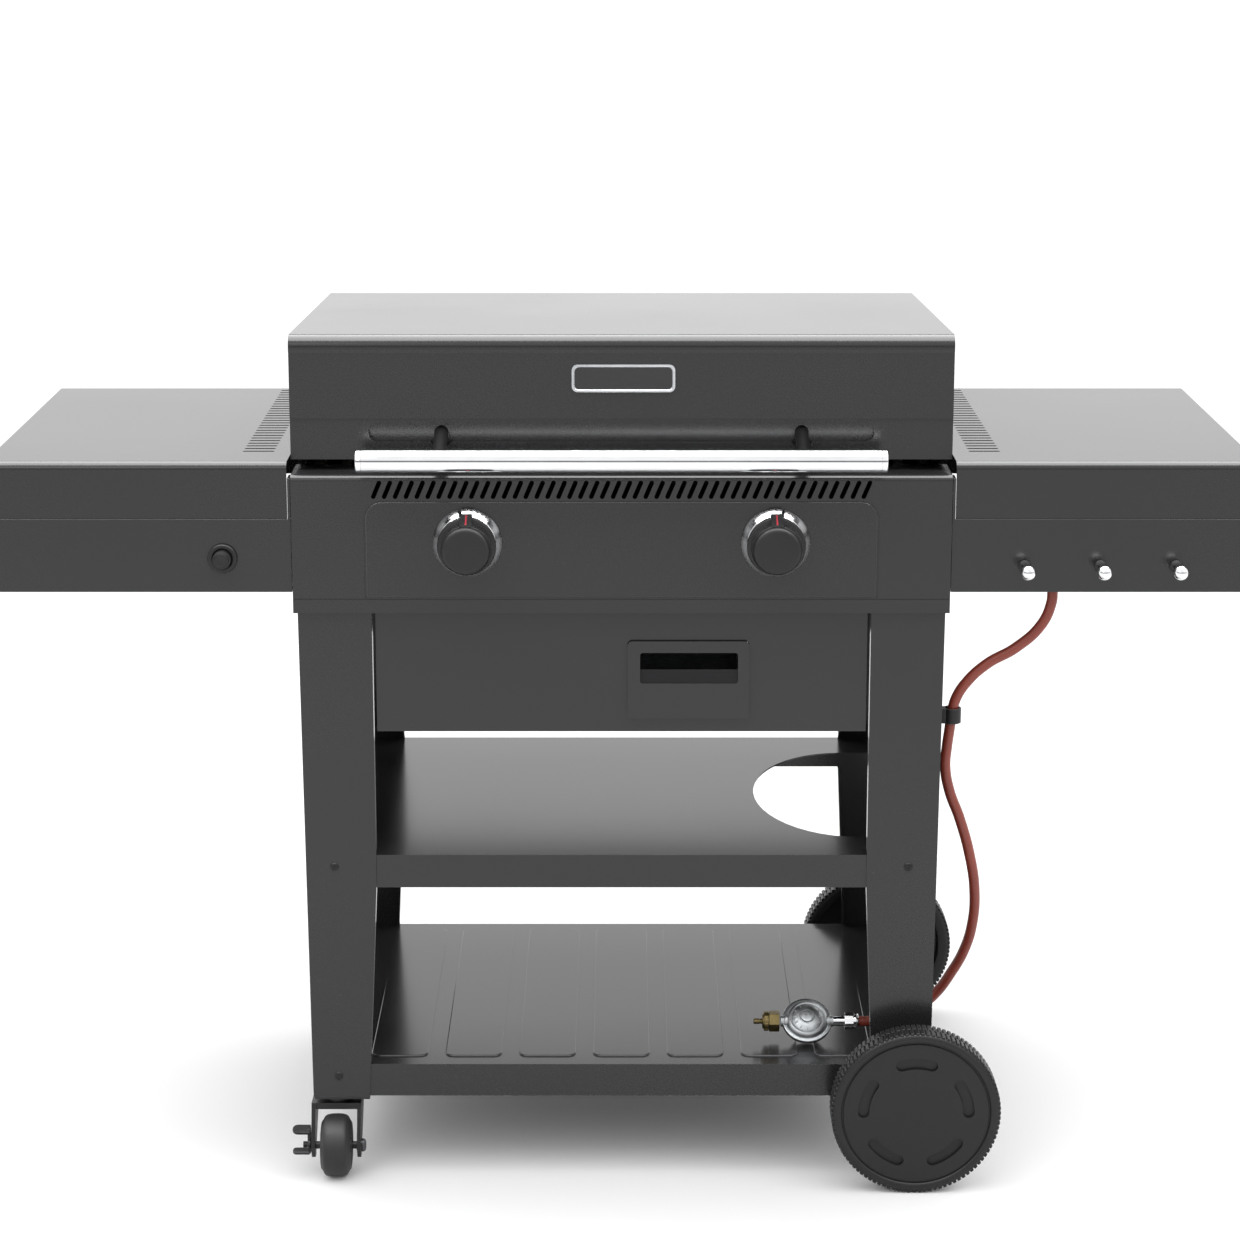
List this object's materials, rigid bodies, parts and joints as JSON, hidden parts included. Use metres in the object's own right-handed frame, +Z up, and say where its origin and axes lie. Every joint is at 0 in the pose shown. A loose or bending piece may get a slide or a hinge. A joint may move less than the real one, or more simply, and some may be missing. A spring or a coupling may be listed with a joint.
{
  "type": "gas barbecue grill",
  "caption": "Gas grill with hinged lid, burner knobs and side shelves on a wheeled cart, with gas hose and regulator.",
  "frame": {"origin": "middle of the footprint on the floor, measured without the gas hose and regulator", "axes": "+X to the right as seen from the front, along both side shelves; the front faces -Y; +Z up"},
  "size_m": [1.28, 0.589, 0.888],
  "materials": {
    "powder_coat": "semi-gloss dark grey powder coat on pressed steel",
    "firebox_enamel": "black heat-resistant enamel on steel",
    "zinc_steel": "bare or zinc-plated steel",
    "cast_iron": "matte black seasoned cast iron",
    "ceramic": "white unglazed insulator",
    "chrome": "polished bright metal",
    "black_steel": "black painted steel",
    "brass": "machined brass",
    "zinc_cast": "die-cast zinc, satin silver",
    "badge_metal": "blank satin metal plate",
    "black_plastic": "moulded matte black plastic",
    "hose_rubber": "orange-red gas hose"
  },
  "bodies": {
    "cart": {"leg_front_left": "powder_coat", "leg_front_right": "powder_coat", "leg_back_left": "powder_coat", "leg_back_right": "powder_coat", "front_apron": "powder_coat", "back_apron": "powder_coat", "side_apron_left": "powder_coat", "side_apron_right": "powder_coat", "middle_shelf": "powder_coat", "lower_shelf": "powder_coat", "firebox": "firebox_enamel", "control_panel": "powder_coat", "knob_bezels": "chrome", "gas_manifold": "zinc_steel", "burner_valves": "brass", "gas_inlet": "brass", "burners": "zinc_steel", "flame_tamers": "zinc_steel", "cooking_grates": "cast_iron", "ignition_electrodes": "ceramic", "side_shelf_left": "powder_coat", "side_shelf_right": "powder_coat", "fascia_left": "powder_coat", "fascia_right": "powder_coat", "shelf_bars": "powder_coat", "tool_hooks": "chrome", "igniter_housing": "black_plastic", "tray_rails": "zinc_steel", "hinge_brackets": "black_steel", "axle": "zinc_steel", "shelf_screws": "black_steel", "hose_clip": "black_plastic", "gas_hose": "hose_rubber", "hose_ferrule": "zinc_steel", "regulator": "zinc_cast", "regulator_nut": "brass", "caster_plates": "black_steel"},
    "lid": {"lid_shell": "powder_coat", "handle_bar": "chrome", "handle_posts": "black_steel", "lid_badge": "badge_metal", "hinge_leaves": "black_steel"},
    "valve_left": {"collar_left": "brass"},
    "burner_knob_left": {"knob_left": "black_plastic", "stem_left": "brass"},
    "valve_right": {"collar_right": "brass"},
    "burner_knob_right": {"knob_right": "black_plastic", "stem_right": "brass"},
    "igniter": {"igniter_button": "black_plastic"},
    "tray": {"grease_tray": "zinc_steel", "tray_front": "powder_coat"},
    "front_wheel": {"wheel_front": "black_plastic"},
    "back_wheel": {"wheel_back": "black_plastic"},
    "caster_front": {"caster_fork_front": "black_steel"},
    "caster_front_wheel": {"caster_wheel_front": "black_plastic"},
    "caster_front_brake": {"brake_lever_front": "black_steel"},
    "caster_back": {"caster_fork_back": "black_steel"},
    "caster_back_wheel": {"caster_wheel_back": "black_plastic"},
    "caster_back_brake": {"brake_lever_back": "black_steel"}
  },
  "joints": [
    {"name": "lid_hinge", "type": "hinge", "parent": "cart", "child": "lid", "pos_m": [0, 0.2875, 0.752], "axis": [-1, 0, 0], "range_deg": [0, 95]},
    {"name": "knob_left_push", "type": "slide", "parent": "cart", "child": "valve_left", "axis": [0, 1, 0], "range_m": [0, 0.004], "stiffness_N_per_m": 1500},
    {"name": "knob_left_turn", "type": "hinge", "parent": "valve_left", "child": "burner_knob_left", "pos_m": [-0.155, -0.2465, 0.6825], "axis": [0, 1, 0], "range_deg": [-150, 0]},
    {"name": "knob_right_push", "type": "slide", "parent": "cart", "child": "valve_right", "axis": [0, 1, 0], "range_m": [0, 0.004], "stiffness_N_per_m": 1500},
    {"name": "knob_right_turn", "type": "hinge", "parent": "valve_right", "child": "burner_knob_right", "pos_m": [0.155, -0.2465, 0.6825], "axis": [0, 1, 0], "range_deg": [-150, 0]},
    {"name": "igniter_push", "type": "slide", "parent": "cart", "child": "igniter", "axis": [0, 1, 0], "range_m": [0, 0.005], "stiffness_N_per_m": 1500},
    {"name": "tray_slide", "type": "slide", "parent": "cart", "child": "tray", "axis": [0, -1, 0], "range_m": [0, 0.28]},
    {"name": "front_wheel_spin", "type": "hinge", "parent": "cart", "child": "front_wheel", "pos_m": [0.305, -0.2775, 0.088], "axis": [0, 1, 0], "continuous": true},
    {"name": "back_wheel_spin", "type": "hinge", "parent": "cart", "child": "back_wheel", "pos_m": [0.305, 0.2545, 0.088], "axis": [0, 1, 0], "continuous": true},
    {"name": "caster_front_swivel", "type": "hinge", "parent": "cart", "child": "caster_front", "pos_m": [-0.3, -0.2165, 0.08], "axis": [0, 0, 1], "continuous": true},
    {"name": "caster_front_spin", "type": "hinge", "parent": "caster_front", "child": "caster_front_wheel", "pos_m": [-0.3, -0.2415, 0.033], "axis": [1, 0, 0], "continuous": true},
    {"name": "caster_front_brake_tip", "type": "hinge", "parent": "caster_front", "child": "caster_front_brake", "pos_m": [-0.3, -0.2415, 0.033], "axis": [1, 0, 0], "range_deg": [0, 20]},
    {"name": "caster_back_swivel", "type": "hinge", "parent": "cart", "child": "caster_back", "pos_m": [-0.3, 0.1895, 0.08], "axis": [0, 0, 1], "continuous": true},
    {"name": "caster_back_spin", "type": "hinge", "parent": "caster_back", "child": "caster_back_wheel", "pos_m": [-0.3, 0.1645, 0.033], "axis": [1, 0, 0], "continuous": true},
    {"name": "caster_back_brake_tip", "type": "hinge", "parent": "caster_back", "child": "caster_back_brake", "pos_m": [-0.3, 0.1645, 0.033], "axis": [1, 0, 0], "range_deg": [0, 20]}
  ]
}
